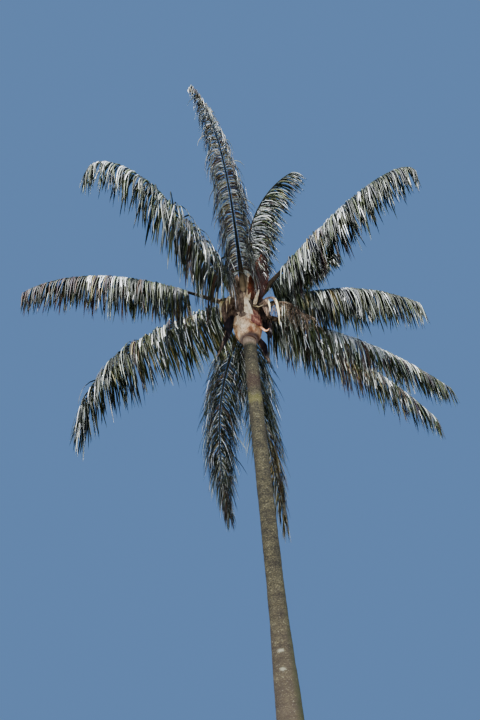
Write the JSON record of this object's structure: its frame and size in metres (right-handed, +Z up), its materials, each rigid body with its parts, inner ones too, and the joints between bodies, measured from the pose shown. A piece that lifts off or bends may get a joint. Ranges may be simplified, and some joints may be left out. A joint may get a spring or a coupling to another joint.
{
  "type": "wax palm",
  "caption": "Tall wax palm with a slender, foot-flared trunk, a swollen collar of leaf sheaths and a crown of long feather fronds whose leaflets hang down like curtains.",
  "frame": {"origin": "centre of the flat cut under the trunk, at ground level", "axes": "+Z up along the trunk, +X to the right and +Y away from the viewer in the reference view"},
  "size_m": [8.0539, 7.2395, 15.1427],
  "materials": {
    "trunk_bark": "matt grey-olive bark with faint leaf-scar rings and pale lichen",
    "collar_sheath": "smooth waxy sheath, cream to pinkish tan, stained brown",
    "brown_sheath": "dry fibrous sheath, brown with cream tears",
    "dark_bract": "dry leathery bract, dark purple-brown",
    "brown_spathe": "woody spathe, orange-brown inside and dark outside",
    "pale_sheath": "papery dead sheath, cream",
    "dry_stalk": "dry flower stalk, grey-tan",
    "frond_green": "satin leaflets, dark olive green above, silvery waxy below"
  },
  "bodies": {
    "root": {"trunk": "trunk_bark", "sheath_collar": "collar_sheath", "leaf_base_stack": "brown_sheath", "bract_left": "dark_bract", "bract_right": "dark_bract", "spathe": "brown_spathe", "bract_curl": "pale_sheath", "sheath_hook": "pale_sheath", "dead_sheath_left": "brown_sheath", "dead_sheath_right": "brown_sheath", "strip_left": "pale_sheath", "strip_left_curl": "pale_sheath", "strip_right": "pale_sheath", "strip_right_short": "pale_sheath", "flower_stalk": "dry_stalk", "frond_01": "frond_green", "frond_02": "frond_green", "frond_03": "frond_green", "frond_04": "frond_green", "frond_05": "frond_green", "frond_06": "frond_green", "frond_07": "frond_green", "frond_08": "frond_green", "frond_09": "frond_green", "frond_10": "frond_green", "frond_11": "frond_green", "frond_12": "frond_green"}
  },
  "joints": []
}
